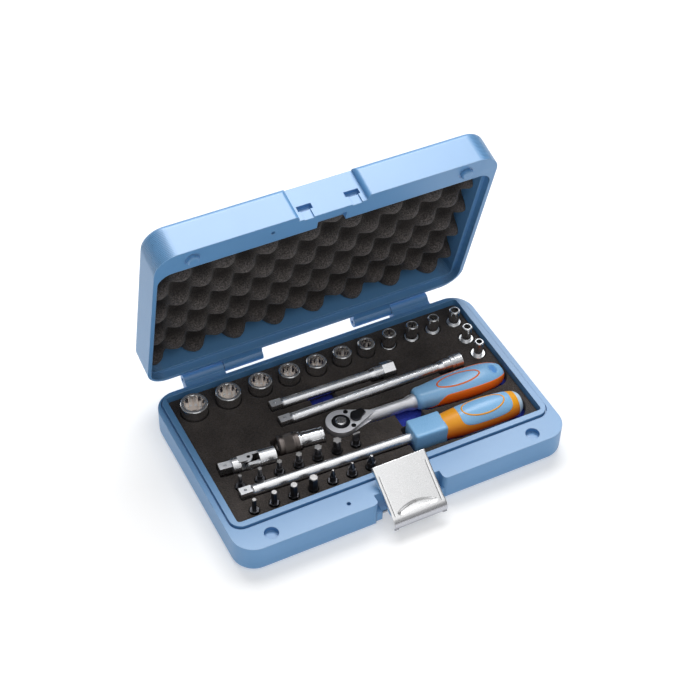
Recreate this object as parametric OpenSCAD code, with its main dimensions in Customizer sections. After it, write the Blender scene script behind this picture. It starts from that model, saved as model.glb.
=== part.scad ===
// Quarter-inch socket wrench set in a hinged plastic case.
// X runs along the length of the case, Y from front to back, Z is up.
// The origin is at the middle of the base's underside.

/* [Case] */
// Length of the case
case_l = 262; // [258:1:290]
// Depth of the case from the front wall to the rear wall
case_w = 160; // [158:1:180]
// Height of the base half up to the rim
base_h = 24; // [24:0.5:30]
// Height of the lid half above the rim
lid_h = 27; // [26:0.5:34]
// Radius of the case corners seen from above
corner_r = 17; // [12:1:20]
// Radius along the outer bottom and top edges
edge_r = 5; // [3:0.5:6]
// Angle at which the lid stands open
lid_open = 76; // [0:1:76]

/* [Hinge] */
// Distance from the rear wall to the hinge axis
hinge_out = 7.7; // [7:0.1:9]
// Radius of the hinge barrels
barrel_r = 4.2; // [3.5:0.1:4.5]
// Diameter of the hinge pins
pin_d = 3; // [2:0.5:4]
// Running clearance of a pin, on the radius
pin_gap = 0.05; // [0.01:0.01:0.10]

/* [Latch] */
// Width of the latch recess
recess_w = 52; // [48:1:56]
// Depth of the latch recess in the base
recess_d = 8.4; // [8.4:0.1:9.5]
// Width of the latch plate
plate_w = 42; // [36:1:44]
// Thickness of the latch plate
plate_t = 0.8; // [0.6:0.1:1.2]
// Angle of the plate from upright as it lies open
plate_tilt = 59; // [40:1:60]

/* [Tools] */
// Length of a socket and of a bit
tool_h = 25; // [22:0.5:25]
// Gap around a tool in its foam pocket
pocket_gap = 0.5; // [0.4:0.1:1]
// Gap around the two handles in their pockets
handle_gap = 3; // [1:0.5:3]
// Surface of the foam tray
foam_top = 20.4; // [20:0.1:21]

/* [Hidden] */
$fn = 48;
tangent_step = 0.03;
// Size of the square drive, and across the flats of a bit's shank
drive = 6.35;
shank_af = 6.35;
// Floor of the case, and top of the lower foam layer
floor_t = 2.4;
under_top = 12.6;
front_y = -case_w / 2;
rear_y = case_w / 2;
half_l = case_l / 2;

// Cavity and raised lip of the base
tray_x = half_l - 9.4;
tray_y0 = front_y + 26;
tray_y1 = rear_y - 5.4;
lip_x = half_l - 4.8;
lip_y0 = front_y + 21.6;
lip_y1 = rear_y - 3.4;
lip_h = 1.8;
lip_r = 9;
groove_w = 1.1;
groove_d = 2;

// Steps inside the lid, from the rim inwards
rim_x = half_l - 3;
rim_y0 = front_y + 20;
rim_y1 = rear_y - 3;
rim_r = 11;
rebate_h = 6;
ledge_w = 3;
lid_z = base_h + 0.15;
lid_top = base_h + lid_h;
lid_foam_z = base_h + 10.2;

// Registering pins and small screw holes beside the latch
reg_x = 104;
reg_y = front_y + 9.6;
reg_d = 8.4;
hole_x = -45;
hole_y = front_y + 9.4;

// Hinge axis and the ends of its barrels
hinge_y = rear_y + hinge_out;
hinge_z = base_h;
barrel_in = 38.5;
barrel_mid = 70.5;
barrel_out = 102.5;
barrel_gap = 0.5;
web_drop = 0.4;

// Latch: pivot of the bail in the base, pivot of the plate on the bail
bail_y = front_y + 3.4;
bail_z = 8.4;
bail_len = 13.8;
bail_lean = 6.5;
bail_d = 2;
bail_x = 17;
plate_y = bail_y - bail_len * sin(bail_lean);
plate_z = bail_z + bail_len * cos(bail_lean);
plate_up = 24.5;
plate_down = 21;
plate_face = 2;
flange_d = 2.8;
curl_r = 6.4;
flange_low = 11.6;
slot_w = 11;
slot_out = 23.5;
slot_z = 7.3;
slot_h = 4.3;
mouth_r = 3.6;
hook_z = 10.8;
hook_d = 5.2;
hook_h = 2.6;
lug_x = 22.4;
lid_recess_d = 5;

// Sockets: name, size, outer diameter, x, y, height of the top
row_y = 58.2;
high = 32.5;
low = 29.5;
SOCKETS = [
    ["socket_14", 14, 20.2, -105.8, row_y, low],
    ["socket_13", 13, 18.7, -78.7, row_y, low],
    ["socket_12", 12, 17.3, -52.9, row_y, low],
    ["socket_11", 11, 15.9, -29.2, row_y, low],
    ["socket_10", 10, 15.2, -6.8, row_y, low],
    ["socket_9", 9, 14, 14.7, row_y, low],
    ["socket_8", 8, 13, 35, row_y, low + 0.5],
    ["socket_7", 7, 10.4, 54.5, row_y, high],
    ["socket_6", 6, 9.2, 74.2, row_y, high],
    ["socket_5_5", 5.5, 8.6, 92.7, row_y, high],
    ["socket_5", 5, 8.1, 111.4, row_y, high],
    ["socket_4_5", 4.5, 7.6, 111.2, 38.4, high],
    ["socket_4", 4, 7, 111.4, 20.6, high]
];
drive_end_d = 12;
drive_end_h = 12.6;

// Bits: name, tip form, tip size, column, row
bit_pitch = 15.15;
bit_x0 = -105;
bit_rows = [-44.7, -21];
bit_top = 32.2;
bit_hex_h = 14;
BITS = [
    ["bit_hex_3", "hex", 3, 0, 0],
    ["bit_hex_4", "hex", 4, 1, 0],
    ["bit_hex_5", "hex", 5, 2, 0],
    ["bit_hex_6", "hex", 6, 3, 0],
    ["bit_cross_1", "cross", 4.4, 4, 0],
    ["bit_cross_2", "cross", 5.4, 5, 0],
    ["bit_cross_3", "cross", 6.2, 6, 0],
    ["bit_star_10", "star", 2.8, 0, 1],
    ["bit_star_15", "star", 3.3, 1, 1],
    ["bit_star_20", "star", 3.9, 2, 1],
    ["bit_star_25", "star", 4.5, 3, 1],
    ["bit_star_30", "star", 5.5, 4, 1],
    ["bit_star_40", "star", 6.2, 5, 1],
    ["bit_slot", "slot", 5.5, 6, 1]
];

// Lying tools: x and y of the left end or drive axis, height of the axis, turn about Z
bar_z = 21;
bar_d = 7.8;
bar_end_d = 11.6;
BAR_100 = [-54.6, 37.6, bar_z, -2];
BAR_150 = [-54.8, 21, bar_z, -0.7];
RATCHET = [-15.7, -0.1, 0, -2];
DRIVER = [-108.8, -28.7, 21.6, -2.2];
UNIVERSAL = [-112.6, -1.2, 21.2, -5.5];
ADAPTER = [-66.4, 0.4, 21.6, -6.5];

// Ratchet, measured from its drive axis
head_r = 11.2;
head_z0 = 14.2;
shoulder_x = 0.8;
head_z1 = 24.4;
cover_t = 1.2;
neck_z = 19.6;
neck_d = 9.4;
neck_x = 61;
handle_z = 21.3;
gear_r = 7;
lever_x = 12.2;
pawl_r = 5.6;
pawl_turn = 10;
lever_turn = 20;
screw_y = 7.2;
screw_x = 7;

// Spinner handle of the driver, measured from the tip
shaft_d = 8;
collar_x = 133;
band_x = 157;
body_x = 170;
body_end = 213;
cap_x = 218;
driver_end = 223;
// Swell of the spinner handle: distance from the tip, radius
GRIP = [
    [band_x, 9.2],
    [162, 9.9],
    [body_x, 10.8],
    [180, 11.3],
    [189, 11.4],
    [199, 11.2],
    [207, 10.6],
    [body_end, 9.9],
    [cap_x, 8.7],
    [221, 7],
    [driver_end, 4.6]
];

// Universal joint, measured from the square end
cross_x = 22;
yoke_gap = 3.3;
yoke_d = 12.6;
female_x = 29.5;
universal_l = 42;

// Bit adapter, measured from the sleeve end
sleeve_d = 15;
sleeve_l = 15.5;
adapter_l = 35;
adapter_d = 12;

// Finger slots through the foam: x, y, length, width
SLOTS = [[-15.2, 29.2, 20, 15], [34.5, -12.5, 20, 17]];

// ---------- shared shapes ----------

module rounded(l, w, r) {
    square([l - 2 * r, w], center = true);
    square([l, w - 2 * r], center = true);
    for (x = [-1, 1], y = [-1, 1])
        translate([x * (l / 2 - r), y * (w / 2 - r)]) circle(r);
}

// Rounded rectangle from y0 to y1 and from -x1 to x1
module frame_shape(x1, y0, y1, r) {
    translate([0, (y0 + y1) / 2]) rounded(2 * x1, y1 - y0, r);
}

// Block with rounded corners and a rounded bottom edge
module soft_block(l, w, h, r, e) {
    translate([0, 0, e]) linear_extrude(h - e) rounded(l, w, r);
    linear_extrude(e + 0.01) rounded(l - 2 * e, w - 2 * e, r - e);
    for (y = [-1, 1])
        translate([0, y * (w / 2 - e), e]) rotate([0, 90, 0])
            cylinder(h = l - 2 * r, r = e, center = true);
    for (x = [-1, 1])
        translate([x * (l / 2 - e), 0, e]) rotate([90, 0, 0])
            cylinder(h = w - 2 * r, r = e, center = true);
    for (x = [-1, 1], y = [-1, 1])
        translate([x * (l / 2 - r), y * (w / 2 - r), e])
            rotate_extrude() translate([r - e, 0]) intersection() {
                circle(e);
                translate([0, -e]) square([e, 2 * e]);
            }
}

// Two circles on the X axis joined by lines just inside their outer tangents
module pill(x1, r1, x2, r2) {
    translate([x1, 0]) circle(r1);
    translate([x2, 0]) circle(r2);
    pill_web(x1, r1, x2, r2);
}

module pill_web(x1, r1, x2, r2) {
    a = asin((r1 - r2) / (x2 - x1));
    q1 = r1 - tangent_step;
    q2 = r2 - tangent_step;
    polygon([
        [x1 + q1 * sin(a), q1 * cos(a)],
        [x2 + q2 * sin(a), q2 * cos(a)],
        [x2 + q2 * sin(a), -q2 * cos(a)],
        [x1 + q1 * sin(a), -q1 * cos(a)]
    ]);
}

// The same outline as a block
module pill_block(h, x1, r1, x2, r2) {
    translate([x1, 0, 0]) cylinder(h = h, r = r1);
    translate([x2, 0, 0]) cylinder(h = h, r = r2);
    linear_extrude(h) pill_web(x1, r1, x2, r2);
}

module place(p) {
    translate([p[0], p[1], p[2]]) rotate([0, 0, p[3]]) children();
}

// Cylinder along +X
module bar(x, len, d) {
    translate([x, 0, 0]) rotate([0, 90, 0]) cylinder(h = len, d = d);
}

// Square prism along +X
module square_bar(x, len, side) {
    translate([x, -side / 2, -side / 2]) cube([len, side, side]);
}

// Profile drawn in Y and Z, extruded along +X
module along_x(x0, x1) {
    translate([x0, 0, 0]) rotate([90, 0, 90]) linear_extrude(x1 - x0) children();
}

// ---------- case ----------

// Upright notch in the front wall, its outer corners rounded off
module recess_cut(depth, z, h) {
    translate([-recess_w / 2, front_y - 1, z]) cube([recess_w, depth + 1, h]);
    for (m = [0, 1]) mirror([m, 0, 0])
        translate([recess_w / 2, front_y, z]) difference() {
            translate([-1, -1, 0]) cube([mouth_r + 1, mouth_r + 1, h]);
            translate([mouth_r, mouth_r, -1]) cylinder(h = h + 2, r = mouth_r);
        }
}

// Slot that a hook of the latch plate drops into, with a shallow lead-in from the rim
module hook_pocket() {
    translate([slot_out - slot_w, front_y, base_h + slot_z])
        cube([slot_w, lid_recess_d + 3.5, slot_h]);
    translate([slot_out - slot_w + 2, front_y, base_h - 1])
        cube([slot_w - 3.5, lid_recess_d + 1.2, slot_z + 1.1]);
}

module barrel_profile(side) {
    translate([hinge_y, hinge_z]) circle(barrel_r);
    polygon([
        [rear_y, hinge_z + side * web_drop],
        [rear_y - 1, hinge_z + side * web_drop],
        [rear_y - 1, hinge_z + side * 15],
        [rear_y, hinge_z + side * 15],
        [hinge_y + barrel_r, hinge_z],
        [hinge_y, hinge_z - side * barrel_r / 2]
    ]);
}

module barrels(x0, x1, side) {
    for (m = [0, 1])
        mirror([m, 0, 0]) along_x(x0, x1) barrel_profile(side);
}

module hinge_bore(d) {
    translate([0, hinge_y, hinge_z]) rotate([0, 90, 0])
        cylinder(h = case_l, d = d, center = true);
}

module base_shell() {
    color("#9cc4ea")
    difference() {
        union() {
            difference() {
                union() {
                    soft_block(case_l, case_w, base_h, corner_r, edge_r);
                    linear_extrude(base_h + lip_h) frame_shape(lip_x, lip_y0, lip_y1, lip_r);
                }
                translate([0, 0, base_h - groove_d]) linear_extrude(lip_h + 3) difference() {
                    frame_shape(lip_x + groove_w, lip_y0 - groove_w, lip_y1 + groove_w, lip_r + groove_w);
                    frame_shape(lip_x, lip_y0, lip_y1, lip_r);
                }
                translate([0, 0, floor_t]) linear_extrude(base_h)
                    frame_shape(tray_x, tray_y0, tray_y1, 2.5);
                recess_cut(recess_d, -1, base_h + 4);
                for (x = [-reg_x, reg_x])
                    translate([x, reg_y, base_h - 3.8]) cylinder(h = 6, d = reg_d + 2);
                translate([hole_x, hole_y, base_h - 6]) cylinder(h = 8, d = 3);
            }
            for (x = [-recess_w / 2 - 1, lug_x])
                translate([x, front_y + 0.8, bail_z - 3.8])
                    cube([recess_w / 2 + 1 - lug_x, recess_d, 7.6]);
            barrels(barrel_mid, barrel_out, -1);
        }
        hinge_bore(pin_d + 2 * pin_gap);
        translate([0, bail_y, bail_z]) rotate([0, 90, 0])
            cylinder(h = 50.4, d = bail_d + 2 * pin_gap, center = true);
    }
}

module hinge_pins() {
    color("silver")
    for (x = [-barrel_out + 1, barrel_in + 1])
        translate([x, hinge_y, hinge_z]) rotate([0, 90, 0])
            cylinder(h = barrel_out - barrel_in - 2, d = pin_d);
}

module lid_pose() {
    translate([0, hinge_y, hinge_z]) rotate([-lid_open, 0, 0])
        translate([0, -hinge_y, -hinge_z]) children();
}

module lid_shell() {
    wall_x = rim_x - ledge_w;
    color("#9cc4ea")
    lid_pose() difference() {
        union() {
            difference() {
                translate([0, 0, lid_top]) mirror([0, 0, 1])
                    soft_block(case_l, case_w, lid_top - lid_z, corner_r, edge_r);
                translate([0, 0, lid_z - 1]) linear_extrude(rebate_h + 1)
                    frame_shape(rim_x, rim_y0, rim_y1, rim_r);
                translate([0, 0, lid_z]) linear_extrude(lid_top - lid_z - floor_t)
                    frame_shape(wall_x, rim_y0 + ledge_w, rim_y1 - ledge_w, 4);
                translate([-11, rim_y0 - 8.5, lid_z - 1]) cube([22, 10, rebate_h + 1]);
                recess_cut(lid_recess_d, lid_z - 1, lid_h + 2);
                for (m = [0, 1]) mirror([m, 0, 0]) hook_pocket();
                translate([hole_x, hole_y, lid_z - 1]) cylinder(h = 6, d = 3);
                for (x = [-reg_x, reg_x])
                    translate([x, reg_y, lid_z - 1]) cylinder(h = 1.5, d = reg_d + 2.4);
            }
            for (x = [-reg_x, reg_x])
                translate([x, reg_y, lid_z - 3]) {
                    cylinder(h = 0.8, d1 = reg_d - 1.6, d2 = reg_d);
                    translate([0, 0, 0.79]) cylinder(h = 3.4, d = reg_d);
                }
            barrels(barrel_in, barrel_mid - barrel_gap, 1);
        }
        hinge_bore(pin_d + 2 * pin_gap);
    }
}

module lid_foam() {
    color("#38322f")
    lid_pose() translate([0, 0, lid_foam_z])
        linear_extrude(lid_top - floor_t - lid_foam_z)
            frame_shape(rim_x - ledge_w, rim_y0 + ledge_w, rim_y1 - ledge_w, 4);
}

// ---------- latch ----------

// Section of the plate: a straight sheet whose lower end curls inwards
module plate_section() {
    translate([-plate_face, -plate_down + curl_r])
        square([plate_t, plate_up + plate_down - curl_r]);
    translate([curl_r - plate_face, curl_r - plate_down]) intersection() {
        difference() {
            circle(curl_r);
            circle(curl_r - plate_t);
        }
        translate([-curl_r, -curl_r]) square([curl_r, curl_r + 0.01]);
    }
}

module latch_plate() {
    half_w = plate_w / 2;
    color("#dfe2e6")
    translate([0, plate_y, plate_z]) rotate([-plate_tilt, 0, 0]) difference() {
        union() {
            along_x(-half_w, half_w) plate_section();
            for (x = [-half_w, half_w - plate_t]) {
                along_x(x, x + plate_t) {
                    translate([-plate_face, -flange_low])
                        square([flange_d, plate_up + flange_low - 2]);
                    circle(2.2);
                    translate([-plate_face, hook_z - hook_h / 2]) square([hook_d, hook_h]);
                }
            }
            for (x = [-half_w, half_w - 3.5])
                along_x(x, x + 3.5)
                    translate([curl_r - plate_face - 1.2, -plate_down - 0.8]) square([1.2, 1.5]);
        }
        along_x(-case_l, case_l) circle(bail_d / 2 + pin_gap);
        for (x = [-half_w + 2.6, half_w - 3.2])
            translate([x, -plate_face - 1, -12]) cube([0.6, 1.3, 30]);
    }
}

module latch_bail() {
    color("silver")
    translate([0, bail_y, bail_z]) rotate([bail_lean, 0, 0]) {
        rotate([0, 90, 0]) cylinder(h = 50, d = bail_d, center = true);
        translate([0, 0, bail_len]) rotate([0, 90, 0])
            cylinder(h = plate_w - 0.2, d = bail_d, center = true);
        for (x = [-bail_x, bail_x]) translate([x, 0, 0]) cylinder(h = bail_len, d = bail_d);
    }
}

// ---------- foam tray ----------

module lying_pocket(p, depth) {
    translate([0, 0, depth]) linear_extrude(foam_top) translate([p[0], p[1]])
        rotate([0, 0, p[3]]) children();
}

module box_shape(x0, x1, w) {
    translate([x0, -w / 2]) square([x1 - x0, w]);
}

module tray_layer(z0, z1) {
    translate([0, 0, z0]) linear_extrude(z1 - z0)
        frame_shape(tray_x - 0.3, tray_y0 + 0.3, tray_y1 - 0.3, 2.2);
}

module trough(x0, x1, y, w, z) {
    translate([x0, y - w / 2, z]) cube([x1 - x0, w, base_h]);
}

// Wide pocket of the spinner handle and the hole under the ratchet's square
module deep_pockets() {
    lying_pocket(DRIVER, DRIVER[2] - 12) driver_outline(handle_gap);
    translate([0, 0, 5.6]) place(RATCHET) cylinder(h = foam_top, d = 10.4);
}

// Lower foam layer, with troughs for the lower ends of the sockets and bits
module tray_underlay() {
    bit_x1 = bit_x0 + 6 * bit_pitch;
    color("#1d2a7a")
    difference() {
        tray_layer(floor_t, under_top);
        trough(-117.6, 44.6, row_y, 22.4, low - tool_h - 0.1);
        trough(44.5, 118.6, row_y, 15, high - tool_h - 0.1);
        translate([104.1, 13.4, high - tool_h - 0.1]) cube([14.5, row_y - 13.4, base_h]);
        for (y = bit_rows) trough(bit_x0 - 5, bit_x1 + 5, y, 9, bit_top - tool_h - 0.1);
        deep_pockets();
    }
}

// Upper foam layer, cut to the outline of every tool
module foam_tray() {
    g = pocket_gap;
    color("#38322f")
    difference() {
        tray_layer(under_top, foam_top);
        for (s = SOCKETS)
            translate([s[3], s[4], floor_t])
                cylinder(h = tool_h, d = max(s[2], s[1] > 7 ? 0 : drive_end_d) + 2 * g);
        for (b = BITS)
            translate([bit_x0 + b[3] * bit_pitch, bit_rows[b[4]], floor_t])
                cylinder(h = tool_h, d = shank_af / cos(30) + 2 * g);
        for (s = SLOTS)
            translate([s[0] - s[2] / 2, s[1] - s[3] / 2, 0]) cube([s[2], s[3], base_h]);
        for (p = [[BAR_100, 100], [BAR_150, 150]]) {
            lying_pocket(p[0], bar_z - bar_d / 2 - g) box_shape(-g, p[1] - 10, bar_d + 2 * g);
            lying_pocket(p[0], bar_z - 7) box_shape(p[1] - 21, p[1] + g, 14);
        }
        lying_pocket(RATCHET, head_z0 - g) ratchet_head_shape(g);
        lying_pocket(RATCHET, floor_t) {
            box_shape(20, neck_x + 10, 13);
            pill(68.5, 9 + handle_gap, 100, 11.2 + handle_gap);
            pill(100, 11.2 + handle_gap, 124, 9 + handle_gap);
        }
        lying_pocket(DRIVER, DRIVER[2] - shaft_d / 2 - g) box_shape(-g, collar_x, shaft_d + 2 * g);
        deep_pockets();
        lying_pocket(UNIVERSAL, UNIVERSAL[2] - 7.8)
            box_shape(-2 * g, universal_l + g, yoke_d + 2 * g);
        lying_pocket(ADAPTER, ADAPTER[2] - sleeve_d / 2 - g) {
            box_shape(-3.5, sleeve_l + 2, sleeve_d + 2 * g);
            box_shape(sleeve_l, adapter_l + g, adapter_d + 2 * g);
        }
    }
}

// ---------- sockets ----------

// Twelve-point opening: two hexagons turned by 30 degrees
module twelve_point(af) {
    for (a = [0, 30]) rotate(a) circle(d = af / cos(30), $fn = 6);
}

module socket(s) {
    af = s[1];
    stepped = af <= 7;
    color("#c9cdd2")
    translate([s[3], s[4], s[5] - tool_h]) difference() {
        union() {
            if (stepped) {
                cylinder(h = drive_end_h - 0.8, d = drive_end_d);
                translate([0, 0, drive_end_h - 0.8])
                    cylinder(h = 0.8, d1 = drive_end_d, d2 = drive_end_d - 1.2);
                cylinder(h = tool_h - 0.6, d = s[2]);
            } else {
                cylinder(h = tool_h - 0.6, d = s[2]);
            }
            translate([0, 0, tool_h - 0.6]) cylinder(h = 0.6, d1 = s[2], d2 = s[2] - 1);
        }
        translate([0, 0, tool_h - 11]) linear_extrude(12) twelve_point(af);
        translate([0, 0, tool_h - 0.7])
            cylinder(h = 0.8, d1 = af * 1.02, d2 = af * 1.14);
        cylinder(h = tool_h, d = min(af * 0.8, drive * 0.9));
        translate([0, 0, 4.3]) cube([drive + 0.1, drive + 0.1, 9.4], center = true);
    }
}

// ---------- extension bars ----------

module extension(len, hexagonal) {
    collar = 9.5;
    color("#c9cdd2") {
        difference() {
            union() {
                square_bar(0, 9, drive);
                translate([8, 0, 0]) rotate([0, 90, 0]) cylinder(h = 2, d1 = 6, d2 = bar_d);
                bar(9.9, len - 26, bar_d);
                translate([len - 20, 0, 0]) rotate([0, 90, 0])
                    cylinder(h = 4, d1 = bar_d, d2 = 9.6);
                bar(len - 16.1, 8, 9.6);
                if (hexagonal) {
                    translate([len - collar, 0, 0]) rotate([0, 90, 0])
                        cylinder(h = collar, d = 13.2, $fn = 6);
                } else {
                    bar(len - collar, collar, bar_end_d);
                }
            }
            square_bar(len - 8.5, 9, drive + 0.1);
            translate([4.2, 0, 1.2]) cylinder(h = 4, d = 2.3);
            if (!hexagonal) translate([len - 7.2, 0, 0]) difference() {
                bar(0, 1, bar_end_d + 1);
                bar(-1, 3, bar_end_d - 0.8);
            }
        }
        translate([4.2, 0, 2.5]) sphere(d = 2.1);
    }
}

module extension_100() { place(BAR_100) extension(100, true); }
module extension_150() { place(BAR_150) extension(150, false); }

// ---------- ratchet ----------

module ratchet_head_shape(g) {
    pill(0, head_r + g, 22, neck_d / 2 + g);
}

// Upper part of the head, tapering to a point on the neck, grown by g
module ratchet_face_block(h, g) {
    cylinder(h = h, r = head_r + g);
    linear_extrude(h) pill_web(0, head_r + g, shoulder_x, head_r + g);
    pill_block(h, shoulder_x, head_r + g, 26, 1.2 + g);
}

// Plan of the handle, grown by g
module ratchet_handle_block(h, g) {
    pill_block(h, 68.5, 8 + g, 100, 11.2 + g);
    pill_block(h, 100, 11.2 + g, 124, 9 + g);
}

module ratchet_handle_side() {
    translate([0, 20, handle_z]) rotate([90, 0, 0]) {
        pill_block(40, 67.5, 7.2, 100, 8);
        pill_block(40, 100, 8, 126.5, 6.6);
    }
}

module ratchet_body() {
    color("#c9cdd2")
    place(RATCHET) difference() {
        union() {
            translate([0, 0, head_z0]) pill_block(6.4, 0, head_r, 22, neck_d / 2);
            translate([0, 0, head_z0 + 6.4])
                ratchet_face_block(head_z1 - cover_t - head_z0 - 6.4, 0);
            translate([0, 0, neck_z]) {
                bar(16, neck_x - 16, neck_d);
                translate([neck_x - 9, 0, 0]) rotate([0, 90, 0])
                    cylinder(h = 5, d1 = neck_d, d2 = 12);
                bar(neck_x - 4.1, 4, 12);
                square_bar(neck_x - 1, 50, 7);
            }
        }
        translate([0, 0, head_z1 - cover_t]) ratchet_face_block(5, 0.1);
        translate([0, 0, head_z0 + 1.2]) cylinder(h = 20, r = gear_r + 0.6);
        cylinder(h = 30, d = 9.4);
        translate([lever_x, 0, head_z0 + 1.2]) cylinder(h = 20, r = pawl_r + 0.4);
        for (y = [-screw_y, screw_y])
            translate([screw_x, y, head_z1 - 6]) cylinder(h = 7, d = 2.6);
    }
}

module ratchet_cover() {
    color("#d8dade")
    place(RATCHET) translate([0, 0, head_z1 - cover_t]) difference() {
        ratchet_face_block(cover_t, 0);
        translate([0, 0, -1]) cylinder(h = 4, d = 13.8);
        translate([lever_x, 0, -1]) cylinder(h = 4, d = 3.2);
        for (y = [-screw_y, screw_y])
            translate([screw_x, y, -1]) cylinder(h = 4, d = 3.6);
    }
}

module ratchet_screws() {
    color("#26282b")
    place(RATCHET) for (y = [-screw_y, screw_y]) translate([screw_x, y, 0]) difference() {
        union() {
            translate([0, 0, head_z1 - cover_t]) cylinder(h = cover_t + 0.3, d = 3.5);
            translate([0, 0, head_z1 - 5.5]) cylinder(h = 5, d = 2.5);
        }
        translate([0, 0, head_z1 - 0.9]) linear_extrude(2) circle(d = 2, $fn = 6);
    }
}

// Star-shaped outline of the fine-toothed gear
module tooth_ring(r, teeth) {
    step = 180 / teeth;
    polygon([for (i = [0:2 * teeth - 1])
        let (rr = i % 2 == 0 ? r : r - 0.6)
        [rr * cos(i * step), rr * sin(i * step)]]);
}

module ratchet_gear() {
    color("#1e1f22")
    place(RATCHET) difference() {
        union() {
            translate([0, 0, head_z0 + 1.4]) linear_extrude(head_z1 - head_z0 - 3.2)
                tooth_ring(gear_r, 36);
            translate([0, 0, head_z1 - 3]) cylinder(h = 2.7, d = 13.6);
            translate([0, 0, head_z0 - 0.3]) cylinder(h = 3, d = 9.3);
            translate([-drive / 2, -drive / 2, head_z0 - 8.4]) cube([drive, drive, 9]);
        }
        translate([0, 0, head_z1 - 6]) cylinder(h = 8, d = 8.3);
        translate([0, drive / 2 - 1.6, head_z0 - 4.4]) rotate([-90, 0, 0]) cylinder(h = 3, d = 2.3);
    }
}

module ratchet_button() {
    color("#d8dade")
    place(RATCHET) {
        translate([0, 0, head_z1 - 4]) cylinder(h = 4.9, d = 8.2);
        translate([0, 0, head_z1 + 0.9]) cylinder(h = 0.6, d1 = 8.2, d2 = 6.8);
    }
}

module ratchet_lever() {
    color("#1e1f22")
    place(RATCHET) translate([lever_x, 0, 0]) {
        translate([0, 0, head_z1 + 0.2]) linear_extrude(1.8) {
            circle(4.4);
            rotate(lever_turn) polygon([[0, -4], [7.4, -2.4], [7.4, 2.4], [0, 4]]);
        }
        translate([0, 0, head_z0 + 1.5]) cylinder(h = 10, d = 3);
    }
}

// Rocking pawl: each end is hollowed to the gear's outline
module ratchet_pawl() {
    color("silver")
    place(RATCHET) translate([lever_x, 0, head_z0 + 1.6]) rotate([0, 0, pawl_turn]) difference() {
        cylinder(h = 6, r = pawl_r);
        for (a = [-pawl_turn, pawl_turn])
            rotate([0, 0, a]) translate([-lever_x, 0, -1]) cylinder(h = 8, r = gear_r + 0.2);
        translate([0, 0, -1]) cylinder(h = 8, d = 3.1);
    }
}

module handle_core_volume() {
    intersection() {
        ratchet_handle_block(40, 0);
        ratchet_handle_side();
    }
}

module ratchet_handle() {
    color("#a6cdf0")
    place(RATCHET) difference() {
        handle_core_volume();
        translate([0, 0, neck_z]) square_bar(neck_x - 2, 51.1, 7);
        translate([neck_x, 0, neck_z]) rotate([0, -90, 0]) cylinder(h = 10, d = 12.1);
        translate([125.5, 0, 0]) linear_extrude(40) rotate(90) pill(-2.2, 1.7, 2.2, 1.7);
    }
}

// Soft band that wraps the lower sides of the ratchet handle
module ratchet_grip() {
    color("#f2641a")
    place(RATCHET) translate([0, 0, handle_z - 5]) difference() {
        ratchet_handle_block(7, 0.9);
        translate([0, 0, -1]) ratchet_handle_block(9, 0.02);
        translate([50, -20, -1]) cube([14, 40, 9]);
    }
}

// ---------- driver with spinner handle ----------

module driver_shaft() {
    color("#c9cdd2")
    place(DRIVER) difference() {
        union() {
            square_bar(0, 9, drive);
            translate([8, 0, 0]) rotate([0, 90, 0]) cylinder(h = 2, d1 = 6, d2 = shaft_d);
            bar(9.9, collar_x + 40, shaft_d);
        }
        translate([4.2, 0, 1.2]) cylinder(h = 4, d = 2.3);
    }
}

module driver_body_volume() {
    rotate([0, 90, 0]) rotate_extrude()
        polygon(concat([[0, band_x]], [for (p = GRIP) [p[1], p[0]]], [[0, driver_end]]));
}

module driver_outline(g) {
    box_shape(collar_x - g, band_x + 4, 18 + 2 * g);
    pill(166, 10 + g, 189, 11.4 + g);
    pill(189, 11.4 + g, 212, 10.8 + g);
}

// The part of the handle body left in hard blue plastic
module driver_window() {
    translate([body_x, -20, 1.5]) cube([body_end - body_x, 40, 20]);
}

module driver_collar() {
    along_x(collar_x, band_x) rounded(18, 18, 2.5);
}

module driver_handle() {
    color("#a6cdf0")
    place(DRIVER) difference() {
        union() {
            driver_collar();
            intersection() {
                driver_body_volume();
                driver_window();
            }
            bar(band_x - 1, cap_x - band_x - 4, 12);
        }
        bar(collar_x - 1, 51.5, shaft_d + 0.04);
    }
}

module driver_grip() {
    color("#f47a16")
    place(DRIVER) difference() {
        intersection() {
            driver_body_volume();
            translate([band_x, -20, -20]) cube([cap_x - band_x, 40, 40]);
        }
        driver_window();
        bar(band_x - 1, cap_x - band_x - 4, 12);
    }
}

module driver_cap() {
    color("#d9e7f5")
    place(DRIVER) intersection() {
        driver_body_volume();
        translate([cap_x, -20, -20]) cube([driver_end - cap_x, 40, 40]);
    }
}

// ---------- universal joint ----------

module universal_drive_yoke() {
    color("#c9cdd2")
    place(UNIVERSAL) difference() {
        union() {
            square_bar(0, 10, drive);
            bar(9.5, 6, 11);
            for (s = [-1, 1])
                translate([14, -3, s > 0 ? yoke_gap : -5.5]) cube([cross_x - 14, 6, 5.5 - yoke_gap]);
            for (s = [-1, 1])
                translate([cross_x, 0, s > 0 ? yoke_gap : -5.5]) cylinder(h = 5.5 - yoke_gap, r = 3);
        }
        translate([cross_x, 0, -10]) cylinder(h = 20, d = 2.6);
        translate([4.5, 0, 1.2]) cylinder(h = 4, d = 2.3);
    }
}

module universal_cross() {
    color("#8d9197")
    place(UNIVERSAL) translate([cross_x, 0, 0]) difference() {
        union() {
            cube([5.4, 6.2, 6.2], center = true);
            cylinder(h = 10.6, d = 2.5, center = true);
        }
        rotate([90, 0, 0]) cylinder(h = 20, d = 2 + 2 * pin_gap, center = true);
    }
}

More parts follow.
